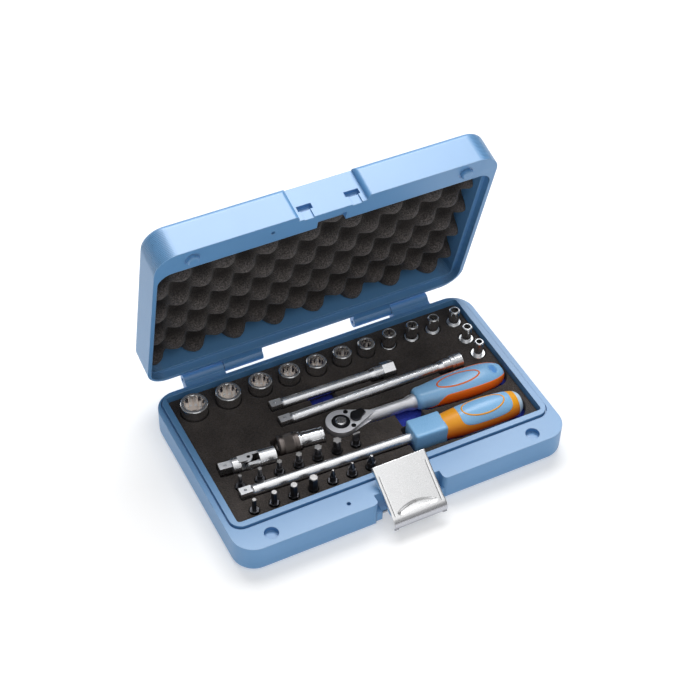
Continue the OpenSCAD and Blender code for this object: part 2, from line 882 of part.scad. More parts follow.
module universal_socket_yoke() {
    color("#c9cdd2")
    place(UNIVERSAL) difference() {
        union() {
            bar(female_x, universal_l - female_x, yoke_d);
            intersection() {
                bar(cross_x - 6, 20, yoke_d);
                for (s = [-1, 1])
                    translate([cross_x, s > 0 ? yoke_gap : -8, -3]) cube([10, 8 - yoke_gap, 6]);
            }
            intersection() {
                bar(cross_x - 6, 20, yoke_d);
                for (s = [-1, 1])
                    translate([cross_x, s > 0 ? yoke_gap : -yoke_gap, 0]) rotate([-90 * s, 0, 0])
                        cylinder(h = 3, r = 3);
            }
        }
        translate([cross_x, 0, 0]) rotate([90, 0, 0]) cylinder(h = 20, d = 2, center = true);
        square_bar(universal_l - 9, 10, drive + 0.1);
    }
}

// The cross pin stays with the socket yoke
module universal_pins() {
    color("#8d9197")
    place(UNIVERSAL) translate([cross_x, 0, 0]) rotate([90, 0, 0])
        cylinder(h = 12, d = 2, center = true);
}

// ---------- bit adapter ----------

module adapter_body() {
    color("#c9cdd2")
    place(ADAPTER) difference() {
        union() {
            bar(0.6, 20, 9.6);
            bar(18.6, adapter_l - 19.1, adapter_d);
            translate([adapter_l - 0.6, 0, 0]) rotate([0, 90, 0])
                cylinder(h = 0.6, d1 = adapter_d, d2 = adapter_d - 1);
        }
        for (x = [22, 31]) difference() {
            bar(x, 1.2, adapter_d + 1);
            bar(x - 1, 4, adapter_d - 0.8);
        }
        translate([0, 0, 0]) rotate([0, 90, 0]) cylinder(h = 14, d = 6.45 / cos(30), $fn = 6);
        square_bar(adapter_l - 9, 10, drive + 0.1);
    }
}

module adapter_sleeve() {
    color("#4a4644")
    place(ADAPTER) difference() {
        union() {
            translate([0, 0, 0]) rotate([0, 90, 0]) cylinder(h = 1, d1 = sleeve_d - 2, d2 = sleeve_d);
            bar(0.99, sleeve_l - 1, sleeve_d);
        }
        bar(-1, sleeve_l + 2, 9.7);
        for (x = [3, 12]) difference() {
            bar(x, 0.8, sleeve_d + 1);
            bar(x - 1, 4, sleeve_d - 1);
        }
    }
}

module adapter_ring() {
    color("silver")
    place(ADAPTER) difference() {
        bar(sleeve_l + 0.2, 1.4, 13);
        bar(sleeve_l - 1, 4, 9.64);
    }
}

// ---------- bits ----------

module bit_tip(form, size) {
    tip_h = tool_h - bit_hex_h;
    if (form == "hex") {
        cylinder(h = tip_h - 0.4, d = size / cos(30), $fn = 6);
        translate([0, 0, tip_h - 0.5]) cylinder(h = 0.5, d = size * 0.9);
    }
    if (form == "star") {
        cylinder(h = 4, d = min(size * 1.25, 6));
        linear_extrude(tip_h) {
            circle(d = size * 0.78);
            for (a = [0:60:300]) rotate(a) translate([size * 0.36, 0]) circle(d = size * 0.28);
        }
    }
    if (form == "cross") {
        cylinder(h = 5, d = size);
        intersection() {
            translate([0, 0, 4.9]) cylinder(h = tip_h - 4.9, d1 = size, d2 = size * 0.3);
            for (a = [0, 90]) rotate(a) translate([-5, -size * 0.13, 0]) cube([10, size * 0.26, 20]);
        }
    }
    if (form == "slot") {
        cylinder(h = 5, d = 4.6);
        translate([-size / 2, -0.6, 3]) cube([size, 1.2, tip_h - 3]);
    }
}

module bit(b) {
    color("#8f9398")
    translate([bit_x0 + b[3] * bit_pitch, bit_rows[b[4]], bit_top - tool_h]) {
        difference() {
            cylinder(h = bit_hex_h, d = shank_af / cos(30), $fn = 6);
            translate([0, 0, 9]) difference() {
                cylinder(h = 1.6, d = 9);
                translate([0, 0, -1]) cylinder(h = 4, d = 5.9);
            }
        }
        translate([0, 0, bit_hex_h - 0.01]) bit_tip(b[1], b[2]);
    }
}

// ---------- nodes ----------

base_shell();
tray_underlay();
foam_tray();
hinge_pins();
lid_shell();
lid_foam();
latch_plate();
latch_bail();
extension_100();
extension_150();
ratchet_body();
ratchet_cover();
ratchet_screws();
ratchet_gear();
ratchet_button();
ratchet_lever();
ratchet_pawl();
ratchet_handle();
ratchet_grip();
driver_shaft();
driver_handle();
driver_grip();
driver_cap();
universal_drive_yoke();
universal_cross();
universal_socket_yoke();
universal_pins();
adapter_body();
adapter_sleeve();
adapter_ring();
for (s = SOCKETS) socket(s);
for (b = BITS) bit(b);
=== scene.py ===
import math
import bpy
import bmesh
import numpy as np
from mathutils import Matrix, Vector, noise


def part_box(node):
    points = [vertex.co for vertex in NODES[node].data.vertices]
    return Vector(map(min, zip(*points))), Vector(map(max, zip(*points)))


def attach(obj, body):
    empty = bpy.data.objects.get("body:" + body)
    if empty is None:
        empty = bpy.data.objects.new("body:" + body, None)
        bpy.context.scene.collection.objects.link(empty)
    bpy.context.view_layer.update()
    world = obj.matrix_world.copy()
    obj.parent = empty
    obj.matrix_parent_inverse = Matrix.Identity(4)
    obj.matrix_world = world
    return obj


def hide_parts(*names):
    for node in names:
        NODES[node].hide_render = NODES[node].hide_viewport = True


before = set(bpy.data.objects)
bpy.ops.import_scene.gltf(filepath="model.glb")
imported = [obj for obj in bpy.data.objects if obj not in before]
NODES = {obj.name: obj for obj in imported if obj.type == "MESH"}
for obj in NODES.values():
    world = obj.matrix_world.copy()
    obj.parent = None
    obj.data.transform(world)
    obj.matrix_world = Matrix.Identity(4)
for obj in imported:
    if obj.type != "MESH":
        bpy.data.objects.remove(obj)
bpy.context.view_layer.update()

MM = 0.001

# Rest poses, in mm and degrees: the lid about its pins, the latch bail and plate about theirs
LID_TILT, LID_PIVOT_Y, LID_PIVOT_Z = 76, 87.7, 24
BAIL_LEAN, BAIL_LENGTH = math.radians(6.5), 13.8
PLATE_TILT = 59
PLATE_Y = -80 + 3.4 - BAIL_LENGTH * math.sin(BAIL_LEAN)
PLATE_Z = 8.4 + BAIL_LENGTH * math.cos(BAIL_LEAN)

# Where each tool lies in the case: x, y, z and the turn about Z in degrees
RATCHET = (-15.7, -0.1, 0.0, -2.0)
DRIVER = (-108.8, -28.7, 21.6, -2.2)
ADAPTER = (-66.4, 0.4, 21.6, -6.5)

# Fine grooves round the lid's corners: pitch, depth, and where they fade in along X and Y
RIB_PITCH, RIB_DEPTH = 1.25, 0.25
RIB_X, RIB_Y = (115, 119), (62, 67)

# Heights between which a bit's tip is painted paler as a highlight, and drops below the plate's pivot over which
# the curl is painted greyer as shade
TIP_Z = (31.85, 32.1)
CURL_DROP = (14.0, 18.5)

# ---------------------------------------------------------------- materials


def tree_of(name):
    """A new material with one Principled shader: the material, its node tree and the shader."""
    m = bpy.data.materials.new(name)
    m.use_nodes = True
    nt = m.node_tree
    nt.nodes.clear()
    out = nt.nodes.new("ShaderNodeOutputMaterial")
    bsdf = nt.nodes.new("ShaderNodeBsdfPrincipled")
    nt.links.new(bsdf.outputs[0], out.inputs[0])
    return m, nt, bsdf


def coords(nt, turn=None):
    """Object coordinates. turn is (angle about X, pivot), so that a tilted part gets its own axes."""
    tc = nt.nodes.new("ShaderNodeTexCoord")
    if turn is None:
        return tc.outputs["Object"]
    angle, pivot = turn
    m = nt.nodes.new("ShaderNodeMapping")
    r = Matrix.Rotation(angle, 3, "X")
    m.inputs["Rotation"].default_value = r.to_euler()
    m.inputs["Location"].default_value = Vector(pivot) - r @ Vector(pivot)
    nt.links.new(tc.outputs["Object"], m.inputs["Vector"])
    return m.outputs[0]


def noise_tex(nt, vec, scale, detail, rough=0.55):
    """Noise from 0 to 1. scale is per metre."""
    n = nt.nodes.new("ShaderNodeTexNoise")
    n.inputs["Scale"].default_value = scale
    n.inputs["Detail"].default_value = detail
    n.inputs["Roughness"].default_value = rough
    nt.links.new(vec, n.inputs["Vector"])
    return n.outputs["Fac"]


def ramp(nt, fac, lo, hi, a, b):
    """Maps fac from lo..hi to a..b."""
    m = nt.nodes.new("ShaderNodeMapRange")
    m.inputs["From Min"].default_value = lo
    m.inputs["From Max"].default_value = hi
    m.inputs["To Min"].default_value = a
    m.inputs["To Max"].default_value = b
    nt.links.new(fac, m.inputs["Value"])
    return m.outputs[0]


def mix_color(nt, fac, a, b):
    """Mixes colours or colour sockets a and b."""
    m = nt.nodes.new("ShaderNodeMix")
    m.data_type = "RGBA"
    nt.links.new(fac, m.inputs["Factor"])
    for socket, v in ((m.inputs["A"], a), (m.inputs["B"], b)):
        if isinstance(v, (tuple, list)):
            socket.default_value = (*v[:3], 1.0)
        else:
            nt.links.new(v, socket)
    return m.outputs["Result"]


def math_node(nt, op, a, b=None):
    """One operation on numbers or sockets."""
    m = nt.nodes.new("ShaderNodeMath")
    m.operation = op
    for i, v in enumerate((a, b)):
        if v is None:
            continue
        if isinstance(v, (int, float)):
            m.inputs[i].default_value = v
        else:
            nt.links.new(v, m.inputs[i])
    return m.outputs[0]


def axes(nt, vec):
    """The X, Y and Z sockets of a vector."""
    n = nt.nodes.new("ShaderNodeSeparateXYZ")
    nt.links.new(vec, n.inputs[0])
    return n.outputs


def bevel_normal(nt, radius):
    """Normals rounded over each edge by radius metres."""
    b = nt.nodes.new("ShaderNodeBevel")
    b.samples = 4
    b.inputs["Radius"].default_value = radius
    return b.outputs[0]


def edge_mask(nt, radius):
    """0 on flat areas, rising to 1 on sharp edges."""
    b = bevel_normal(nt, radius)
    g = nt.nodes.new("ShaderNodeNewGeometry")
    d = nt.nodes.new("ShaderNodeVectorMath")
    d.operation = "DOT_PRODUCT"
    nt.links.new(b, d.inputs[0])
    nt.links.new(g.outputs["Normal"], d.inputs[1])
    return ramp(nt, d.outputs["Value"], 1.0, 0.8, 0.0, 1.0)


def bump(nt, height, distance, strength, normal=None):
    """Normals raised by a height socket."""
    b = nt.nodes.new("ShaderNodeBump")
    b.inputs["Distance"].default_value = distance
    b.inputs["Strength"].default_value = strength
    nt.links.new(height, b.inputs["Height"])
    if normal is not None:
        nt.links.new(normal, b.inputs["Normal"])
    return b.outputs[0]


def facing_up(nt, lo, hi, a, b):
    """Runs from a to b as a face turns from level (lo) to looking straight up (hi)."""
    g = nt.nodes.new("ShaderNodeNewGeometry")
    xyz = axes(nt, g.outputs["Normal"])
    return ramp(nt, xyz[2], lo, hi, a, b)


def plastic(name, base, dark, rough, grain, grain_h, bevel=0.5, edge_highlight=None, spec=0.5, ribs=None,
            turn=None, coat=0.0):
    """Moulded plastic. grain is the texture's scale, grain_h and bevel are in mm, and an edge colour paints a
    paler highlight on sharp edges.
    """
    m, nt, p = tree_of(name)
    vec = coords(nt, turn)
    big = noise_tex(nt, vec, 25, 2)
    fine = noise_tex(nt, vec, grain, 4, 0.7)
    fac = ramp(nt, big, 0.3, 0.7, 0.0, 1.0)
    col = mix_color(nt, fac, base, dark)
    # painted highlight: sharp edges are coloured paler blue, as if catching the light
    if edge_highlight:
        col = mix_color(nt, math_node(nt, "MULTIPLY", edge_mask(nt, 0.9 * MM), 0.55), col, edge_highlight)
    nt.links.new(col, p.inputs["Base Color"])
    nt.links.new(ramp(nt, fine, 0.2, 0.8, rough - 0.07, rough + 0.09), p.inputs["Roughness"])
    nrm = bevel_normal(nt, bevel * MM)
    if ribs:
        nrm = bump(nt, ribs(nt, vec), RIB_DEPTH * MM, 1.0, nrm)
    nt.links.new(bump(nt, fine, grain_h * MM, 0.6, nrm), p.inputs["Normal"])
    p.inputs["Specular IOR Level"].default_value = spec
    if coat:
        # level faces are polished by handling, the walls keep a duller moulded finish
        nt.links.new(facing_up(nt, 0.25, 0.85, 0.0, coat), p.inputs["Coat Weight"])
        p.inputs["Coat Roughness"].default_value = 0.38
    return m


def metal(name, base, dark, rough, bevel=0.25, scratch=0.04, turn=None, extra=None, flats=0.0):
    """Metal with fine scratches. extra changes colour and normal, flats adds roughness to level faces."""
    m, nt, p = tree_of(name)
    vec = coords(nt, turn)
    big = noise_tex(nt, vec, 60, 3)
    fine = noise_tex(nt, vec, 1800, 3, 0.6)
    col = mix_color(nt, ramp(nt, big, 0.35, 0.7, 0.0, 1.0), base, dark)
    nrm = bevel_normal(nt, bevel * MM)
    if extra:
        col, nrm = extra(nt, vec, col, nrm)
    nt.links.new(col, p.inputs["Base Color"])
    shine = ramp(nt, fine, 0.25, 0.75, max(rough - 0.05, 0.02), rough + 0.08)
    if flats:
        # flat ground faces are duller than the turned ones
        shine = math_node(nt, "ADD", shine, facing_up(nt, 0.975, 0.995, 0.0, flats))
    nt.links.new(shine, p.inputs["Roughness"])
    nt.links.new(bump(nt, fine, scratch * MM, 0.35, nrm), p.inputs["Normal"])
    p.inputs["Metallic"].default_value = 1.0
    return m


def painted_tip_highlight(nt, vec, col, nrm):
    """Paler steel painted on the top of an upright bit, a painted highlight for the light it catches."""
    xyz = axes(nt, vec)
    fac = ramp(nt, xyz[2], TIP_Z[0] * MM, TIP_Z[1] * MM, 0.0, 1.0)
    # painted highlight: the bit's top face is coloured pale steel
    return mix_color(nt, fac, col, (0.40, 0.39, 0.38)), nrm


def foam(name, base, light, scale, painted_peak_light=None, turn=None):
    """Soft cellular foam. An optional (low, high, colour) paints faces near the low height paler and speckled: a
    painted highlight on the lit peaks.
    """
    m, nt, p = tree_of(name)
    vec = coords(nt, turn)
    cell = nt.nodes.new("ShaderNodeTexVoronoi")
    cell.inputs["Scale"].default_value = scale
    nt.links.new(vec, cell.inputs["Vector"])
    fine = noise_tex(nt, vec, scale * 1.6, 4, 0.7)
    big = noise_tex(nt, vec, 40, 2)
    mixed = math_node(nt, "ADD", math_node(nt, "MULTIPLY", fine, 0.7), math_node(nt, "MULTIPLY", big, 0.3))
    col = mix_color(nt, ramp(nt, mixed, 0.40, 0.64, 0.0, 1.0), base, light)
    if painted_peak_light:
        # painted highlight: faces near the peaks are coloured paler with speckled glints
        xyz = axes(nt, vec)
        near = ramp(nt, xyz[2], painted_peak_light[0] * MM, painted_peak_light[1] * MM, 1.0, 0.0)
        painted_glints = ramp(nt, noise_tex(nt, vec, scale * 1.1, 2, 0.8), 0.42, 0.68, 0.15, 1.0)
        col = mix_color(nt, math_node(nt, "MULTIPLY", near, painted_glints), col, painted_peak_light[2])
    nt.links.new(col, p.inputs["Base Color"])
    height = math_node(nt, "ADD", cell.outputs["Distance"], fine)
    nt.links.new(bump(nt, height, 0.35 * MM, 0.9), p.inputs["Normal"])
    p.inputs["Roughness"].default_value = 0.95
    p.inputs["Specular IOR Level"].default_value = 0.2
    p.inputs["Sheen Weight"].default_value = 0.12
    p.inputs["Sheen Roughness"].default_value = 0.6
    return m


def corner_ribs(nt, vec):
    """Height of the fine grooves that run round the lid's corners."""
    xyz = axes(nt, vec)
    ax = math_node(nt, "ABSOLUTE", xyz[0])
    ay = math_node(nt, "ABSOLUTE", xyz[1])
    gate = math_node(
        nt, "MULTIPLY",
        ramp(nt, ax, RIB_X[0] * MM, RIB_X[1] * MM, 0.0, 1.0),
        ramp(nt, ay, RIB_Y[0] * MM, RIB_Y[1] * MM, 0.0, 1.0),
    )
    wave = math_node(nt, "SINE", math_node(nt, "MULTIPLY", xyz[2], 2 * math.pi / (RIB_PITCH * MM)))
    return math_node(nt, "MULTIPLY", wave, gate)


LID_TURN = (math.radians(LID_TILT), (0, LID_PIVOT_Y * MM, LID_PIVOT_Z * MM))
PLATE_TURN = (math.radians(PLATE_TILT), (0, PLATE_Y * MM, PLATE_Z * MM))
BLUE = (0.122, 0.325, 0.615)
BLUE_DARK = (0.112, 0.305, 0.585)
# paler blue painted on sharp edges as a highlight
EDGE_HIGHLIGHT_BLUE = (0.34, 0.56, 0.84)
M = {}
M["case"] = plastic("case_blue", BLUE, BLUE_DARK, 0.40, 2600, 0.05, 0.8, edge_highlight=EDGE_HIGHLIGHT_BLUE, spec=0.75, coat=1.0)
M["lid"] = plastic("lid_blue", BLUE, BLUE_DARK, 0.40, 2600, 0.05, 0.8, edge_highlight=EDGE_HIGHLIGHT_BLUE, spec=0.75,
                   ribs=corner_ribs, turn=LID_TURN, coat=1.0)
M["underlay"] = foam("foam_blue", (0.012, 0.022, 0.30), (0.05, 0.09, 0.62), 900)
M["foam"] = foam("foam_black", (0.028, 0.0235, 0.0215), (0.095, 0.080, 0.072), 900)
# the egg-crate's peaks are painted paler and speckled as a highlight
M["egg"] = foam("foam_egg", (0.012, 0.0105, 0.0100), (0.050, 0.043, 0.040), 800,
                painted_peak_light=(36.0, 43.0, (0.17, 0.15, 0.14)), turn=LID_TURN)
M["chrome"] = metal("chrome_bright", (0.88, 0.89, 0.91), (0.82, 0.83, 0.85), 0.22)
M["satin"] = metal("chrome_satin", (0.93, 0.94, 0.96), (0.84, 0.85, 0.87), 0.27, scratch=0.05, flats=0.35)
M["head"] = metal("chrome_blasted", (0.88, 0.88, 0.91), (0.80, 0.80, 0.83), 0.52, scratch=0.10)
M["wire"] = metal("steel_wire", (0.60, 0.61, 0.63), (0.50, 0.51, 0.53), 0.25)
M["dark"] = metal("steel_black", (0.055, 0.055, 0.06), (0.035, 0.035, 0.04), 0.30, scratch=0.06)
M["bit"] = metal("steel_bit", (0.15, 0.15, 0.16), (0.08, 0.08, 0.09), 0.32, bevel=0.2, scratch=0.10,
                 extra=painted_tip_highlight)


def painted_curl_shade(nt, vec, col, nrm):
    """Painted shade: greyer colour on the curled lower end of the latch plate, in place of its darker
    reflection.
    """
    xyz = axes(nt, vec)
    fac = ramp(nt, xyz[2], (PLATE_Z - CURL_DROP[0]) * MM, (PLATE_Z - CURL_DROP[1]) * MM, 0.0, 1.0)
    # painted shade: the curl is coloured grey instead of reflecting a darker surround
    return mix_color(nt, fac, col, (0.50, 0.51, 0.55)), nrm


M["latch"] = metal("latch_polished", (0.98, 0.98, 0.99), (0.95, 0.96, 0.97), 0.27, scratch=0.003,
                   turn=PLATE_TURN, extra=painted_curl_shade)
M["handle"] = plastic("handle_blue", (0.30, 0.60, 0.94), (0.27, 0.57, 0.92), 0.26, 1500, 0.012, 0.5, spec=0.5)
M["cap"] = plastic("cap_pale", (0.60, 0.78, 0.94), (0.56, 0.75, 0.92), 0.22, 1500, 0.012, 0.5)


def grip_orange(name, top, side, z_lo, z_hi):
    """Soft orange rubber coloured side below z_lo mm and top above z_hi mm: the paler top is painted light and
    the redder side painted shade.
    """
    m, nt, p = tree_of(name)
    vec = coords(nt)
    xyz = axes(nt, vec)
    fine = noise_tex(nt, vec, 1300, 4, 0.7)
    # painted light and shade: the colour runs with height from the shaded side's to the lit top's
    fac = ramp(nt, xyz[2], z_lo * MM, z_hi * MM, 0.0, 1.0)
    col = mix_color(nt, fac, side, top)
    col = mix_color(nt, ramp(nt, noise_tex(nt, vec, 50, 2), 0.3, 0.75, 0.0, 0.18), col, side)
    nt.links.new(col, p.inputs["Base Color"])
    nt.links.new(ramp(nt, fine, 0.25, 0.75, 0.36, 0.52), p.inputs["Roughness"])
    nt.links.new(bump(nt, fine, 0.03 * MM, 0.5), p.inputs["Normal"])
    return m


# both grips are painted paler on top as lit and redder on the sides as shaded
M["orange"] = grip_orange("grip_orange", (1.0, 0.43, 0.008), (1.0, 0.13, 0.008), 20, 30)
M["orange_low"] = grip_orange("grip_orange_low", (1.0, 0.20, 0.008), (1.0, 0.10, 0.008), 14, 24)


def socket_finish(name, cx, cy, inner_r, top):
    """Bright plated outside, browner and duller in the opening."""

    def extra(nt, vec, col, nrm):
        d = nt.nodes.new("ShaderNodeVectorMath")
        d.operation = "SUBTRACT"
        nt.links.new(vec, d.inputs[0])
        d.inputs[1].default_value = (cx, cy, 0)
        xyz = axes(nt, d.outputs[0])
        squares = [math_node(nt, "POWER", xyz[i], 2.0) for i in (0, 1)]
        r = math_node(nt, "SQRT", math_node(nt, "ADD", *squares))
        inside = ramp(nt, r, inner_r, inner_r - 0.25 * MM, 0.0, 1.0)
        deep = ramp(nt, xyz[2], top - 0.5 * MM, top - 1.6 * MM, 0.25, 1.0)
        fac = math_node(nt, "MULTIPLY", inside, deep)
        return mix_color(nt, fac, col, (0.88, 0.79, 0.72)), nrm

    return metal(name, (0.88, 0.89, 0.90), (0.86, 0.87, 0.89), 0.17, bevel=0.3, extra=extra, flats=0.3)


def knurl(centre, angle, radius, x0, x1, pitch=1.1):
    """Crossed grooves round a cylinder that lies at an angle to X."""

    def extra(nt, vec, col, nrm):
        m = nt.nodes.new("ShaderNodeMapping")
        r = Matrix.Rotation(-angle, 3, "Z")
        m.inputs["Rotation"].default_value = r.to_euler()
        m.inputs["Location"].default_value = -(r @ Vector(centre))
        nt.links.new(vec, m.inputs["Vector"])
        xyz = axes(nt, m.outputs[0])
        turn = math_node(nt, "MULTIPLY", math_node(nt, "ARCTAN2", xyz[1], xyz[2]), radius)
        waves = []
        for sign in (1, -1):
            t = math_node(nt, "ADD", math_node(nt, "MULTIPLY", turn, sign), xyz[0])
            wave = math_node(nt, "SINE", math_node(nt, "MULTIPLY", t, math.pi / (pitch * MM)))
            waves.append(math_node(nt, "ABSOLUTE", wave))
        h = math_node(nt, "MULTIPLY", waves[0], waves[1])
        gate = math_node(
            nt, "MULTIPLY",
            ramp(nt, xyz[0], x0 * MM, (x0 + 0.2) * MM, 0.0, 1.0),
            ramp(nt, xyz[0], x1 * MM, (x1 - 0.2) * MM, 0.0, 1.0),
        )
        h = math_node(nt, "MULTIPLY", h, gate)
        col = mix_color(nt, math_node(nt, "MULTIPLY", h, 0.5), col, (0.34, 0.30, 0.27))
        return col, bump(nt, h, 0.3 * MM, 1.0, nrm)

    return extra


# ---------------------------------------------------------------- mesh helpers


def make(name, verts, faces, mat, body, replaced=(), smooth=True):
    """A piece from vertices in mm. It rides on body and stands for the CAD nodes in replaced."""
    me = bpy.data.meshes.new(name)
    me.from_pydata([tuple(v) for v in np.asarray(verts, float) * MM], [], faces)
    me.validate()
    bm = bmesh.new()
    bm.from_mesh(me)
    bmesh.ops.recalc_face_normals(bm, faces=bm.faces)
    bm.to_mesh(me)
    bm.free()
    me.materials.append(mat)
    me.polygons.foreach_set("use_smooth", [smooth] * len(me.polygons))
    ob = bpy.data.objects.new(name, me)
    bpy.context.scene.collection.objects.link(ob)
    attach(ob, body)
    if replaced:
        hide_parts(*replaced)
    return ob


def set_in(pts, x, y, z, turn):
    """From a tool's own frame to the case's, in mm. turn is in degrees about Z."""
    a = math.radians(turn)
    p = np.asarray(pts, float)
    return np.stack([x + p[..., 0] * math.cos(a) - p[..., 1] * math.sin(a),
                     y + p[..., 0] * math.sin(a) + p[..., 1] * math.cos(a), z + p[..., 2]], -1)


def grid_faces(rows, cols, wrap_cols=False, wrap_rows=False):
    """Four-sided faces of a grid of vertices, which may close on itself either way."""
    f = []
    for i in range(rows - (0 if wrap_rows else 1)):
        for j in range(cols - (0 if wrap_cols else 1)):
            a, b = i * cols + j, i * cols + (j + 1) % cols
            c, d = ((i + 1) % rows) * cols + (j + 1) % cols, ((i + 1) % rows) * cols + j
            f.append((a, b, c, d))
    return f


def capped_faces(rows, cols):
    """Faces of a closed loft: rings of vertices with a flat face at each end."""
    return grid_faces(rows, cols, wrap_cols=True) + [
        tuple(range(cols))[::-1], tuple(range((rows - 1) * cols, rows * cols))]


def round_angles(count):
    """Evenly spread angles all the way round."""
    return np.linspace(0, 2 * math.pi, count + 1)[:-1]


def ease(t):
    """Smooth step from 0 to 1."""
    return t * t * (3 - 2 * t)


def curve_at(table, x):
    """Smooth interpolation through (x, value) pairs."""
    xs = [t[0] for t in table]
    ys = [t[1] for t in table]
    x = np.asarray(x, float)
    k = np.clip(np.searchsorted(xs, x) - 1, 0, len(xs) - 2)
    xs, ys = np.array(xs, float), np.array(ys, float)
    slope = np.gradient(ys, xs)
    h = xs[k + 1] - xs[k]
    t = np.clip((x - xs[k]) / h, 0, 1)
    return ((2 * t**3 - 3 * t**2 + 1) * ys[k] + (t**3 - 2 * t**2 + t) * h * slope[k]
            + (-2 * t**3 + 3 * t**2) * ys[k + 1] + (t**3 - t**2) * h * slope[k + 1])


def power(c, n):
    """A cosine or sine bent so that a circle becomes a superellipse of exponent n."""
    return np.sign(c) * np.abs(c) ** (2.0 / n)


def bead(name, path, normals, radius, flat, mat, body, sides=8):
    """A thin bead along a closed path, flattened along the surface's normals."""
    tan = np.roll(path, -1, 0) - np.roll(path, 1, 0)
    tan /= np.linalg.norm(tan, axis=1)[:, None]
    side = np.cross(tan, normals)
    side /= np.linalg.norm(side, axis=1)[:, None]
    verts = []
    for k in range(sides):
        a = 2 * math.pi * k / sides
        verts.append(path + side * radius * math.cos(a) + normals * radius * flat * math.sin(a))
    v = np.stack(verts, 1).reshape(-1, 3)
    make(name, v, grid_faces(len(path), sides, wrap_cols=True, wrap_rows=True), mat, body)


# ---------------------------------------------------------------- ratchet handle

# Half width and half height along the handle, as (x, mm)
WIDE = [(60, 7.0), (61, 7.9), (66, 8.7), (75, 9.9), (85, 10.9), (95, 11.5), (105, 11.8), (113, 11.6),
        (120, 10.9), (126, 9.3), (130, 7.2), (132.6, 4.4), (133.6, 1.6)]
HIGH = [(60, 6.2), (61, 6.7), (70, 7.4), (100, 8.1), (120, 7.4), (128, 6.3), (132, 4.6), (133.6, 2.0)]
HANDLE_Z = 21.3
HANDLE_SQUARENESS = 2.55
HANDLE_END = 133.6
HANG_X, HANG_HALF_X, HANG_HALF_Y, HANG_DEPTH = 124.6, 2.3, 4.1, 5.0


def handle_point(x, phi, grow=0.0):
    """phi runs from 0 on the near side over the top to 180 on the far side."""
    a = curve_at(WIDE, x) + grow
    b = curve_at(HIGH, x) + grow
    n = HANDLE_SQUARENESS
    return np.stack([x, a * power(np.cos(phi), n), HANDLE_Z + b * power(np.sin(phi), n)], -1)


def ratchet_handle():
    """The hard blue handle, with a shallow hanging slot near its end."""
    tail = HANDLE_END - 7.6 * (1 - np.sin(np.linspace(0.08, math.pi / 2, 14)))
    xs = np.concatenate([[60.0, 60.4], np.linspace(61, 126, 66), tail])
    ph = round_angles(72)
    X, P = np.meshgrid(xs, ph, indexing="ij")
    v = handle_point(X, P)
    rows, cols = X.shape
    # the top is pushed in over a small oval
    v = v.reshape(-1, 3)
    lx, ly = (v[:, 0] - HANG_X) / HANG_HALF_X, v[:, 1] / HANG_HALF_Y
    inside = np.clip(1.25 - np.sqrt(lx**2 + ly**2), 0, 0.5) / 0.5
    v[:, 2] = np.where(v[:, 2] > HANDLE_Z, v[:, 2] - HANG_DEPTH * ease(inside), v[:, 2])
    make("ratchet_handle_shell", set_in(v, *RATCHET), capped_faces(rows, cols), M["handle"], "ratchet",
         ["ratchet_handle"])


def ratchet_grip():
    """The orange skin round the handle's sides and underside, its edges tucked under the surface."""
    grow, tuck, cols = 0.28, 0.5, 40
    t = 0.5 - 0.5 * np.cos(math.pi * np.linspace(0, 1, cols))
    across = np.minimum(np.minimum(np.arange(cols), np.arange(cols)[::-1]) / 2.0, 1.0)
    tail = HANDLE_END + 0.3 - 7.9 * (1 - np.sin(np.linspace(0.08, math.pi / 2 - 0.02, 16)))
    xs = np.concatenate([np.linspace(66.2, 126, 62), tail])
    v = []
    for i, x in enumerate(xs):
        # the orange starts higher on the near side towards the head
        s = ease(np.clip((x - 66.0) / 18.0, 0.0, 1.0))
        a = (1 - s) * math.radians(-40) + s * math.radians(34)
        b = -math.pi - a
        lift = np.minimum(across, min(min(i, len(xs) - 1 - i) / 2.0, 1.0))
        g = -tuck + (grow + tuck) * np.sin(lift * math.pi / 2)
        v.append(handle_point(np.full(cols, x), a + (b - a) * t, g))
    v = np.array(v).reshape(-1, 3)
    make("ratchet_grip_skin", set_in(v, *RATCHET), grid_faces(len(xs), cols), M["orange_low"], "ratchet",
         ["ratchet_grip"])


def ratchet_ring():
    """The oval inlay lies on the nearly flat top of the ratchet's handle."""
    t = round_angles(140)
    x = 95.5 + 17.4 * np.cos(t)
    y = 5.6 * np.sin(t)
    a, b = curve_at(WIDE, x), curve_at(HIGH, x)
    n = HANDLE_SQUARENESS
    z = HANDLE_Z + b * (1 - np.abs(y / a) ** n) ** (1 / n)
    p = np.stack([x, y, z], -1)
    nrm = np.stack([0 * x, 0.12 * y, np.full_like(x, 1.0)], -1)
    nrm /= np.linalg.norm(nrm, axis=1)[:, None]
    bead("ratchet_ring_inlay", set_in(p, *RATCHET), set_in(nrm, 0, 0, 0, RATCHET[3]), 0.68, 0.5,
         M["orange_low"], "ratchet")


ratchet_handle()
ratchet_grip()
ratchet_ring()

# ---------------------------------------------------------------- driver handle

# Radius along the handle, as (x, mm)
SWELL = [(156.8, 9.3), (159, 9.6), (164, 10.1), (171, 10.8), (180, 11.25), (190, 11.4), (200, 11.2), (208, 10.7),
         (214, 10.0), (218, 9.0), (220.4, 7.6), (222, 5.6), (222.9, 2.4)]
GRIP_SQUARENESS = 2.12
COLLAR_SQUARENESS = 11.0


def driver_point(x, phi, grow=0.0):
    """A point on the handle, grow mm proud of it. phi runs round the axis from the far side over the top."""
    r = curve_at(SWELL, x) + grow
    return np.stack([x, r * power(np.cos(phi), GRIP_SQUARENESS), r * power(np.sin(phi), GRIP_SQUARENESS)], -1)


